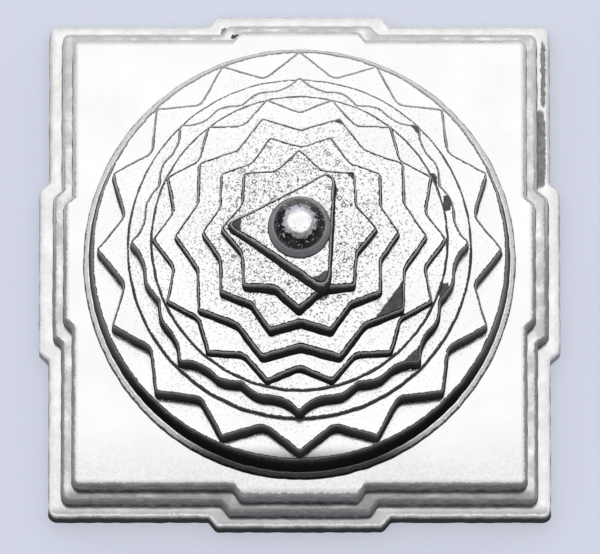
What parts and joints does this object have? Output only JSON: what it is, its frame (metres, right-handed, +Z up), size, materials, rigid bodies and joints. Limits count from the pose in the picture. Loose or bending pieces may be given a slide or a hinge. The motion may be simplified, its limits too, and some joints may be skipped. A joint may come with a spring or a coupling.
{
  "type": "shri yantra",
  "caption": "Stepped pyramid of polished cast plates: a square gated base, round discs, rings of petals and points, a triangle and a domed bindu on top.",
  "frame": {"origin": "middle of the square base, on its underside", "axes": "+Z up through the bindu, the triangle points along -X, the gates face +X, -X, +Y and -Y"},
  "size_m": [0.053, 0.053, 0.0305],
  "materials": {
    "silver_plate": "cast brass with a silver-coloured plating, polished on the flat faces, darker on the walls",
    "dark_silver": "the same plating, polished to a dark mirror",
    "screw_steel": "plain steel"
  },
  "bodies": {
    "root": {"bhupura_lower_plate": "silver_plate", "bhupura_middle_plate": "silver_plate", "bhupura_upper_plate": "silver_plate", "ring_plate": "silver_plate", "sixteen_petal_disc": "silver_plate", "sixteen_petal_plate": "silver_plate", "outer_circle_disc": "silver_plate", "eight_petal_plate": "silver_plate", "inner_circle_disc": "silver_plate", "fourteen_point_plate": "silver_plate", "outer_ten_point_plate": "silver_plate", "inner_ten_point_plate": "silver_plate", "eight_point_plate": "silver_plate", "triangle_plate": "silver_plate", "bindu_collar": "silver_plate", "bindu": "dark_silver", "tie_screw": "screw_steel", "dowel_pin": "screw_steel"}
  },
  "joints": []
}
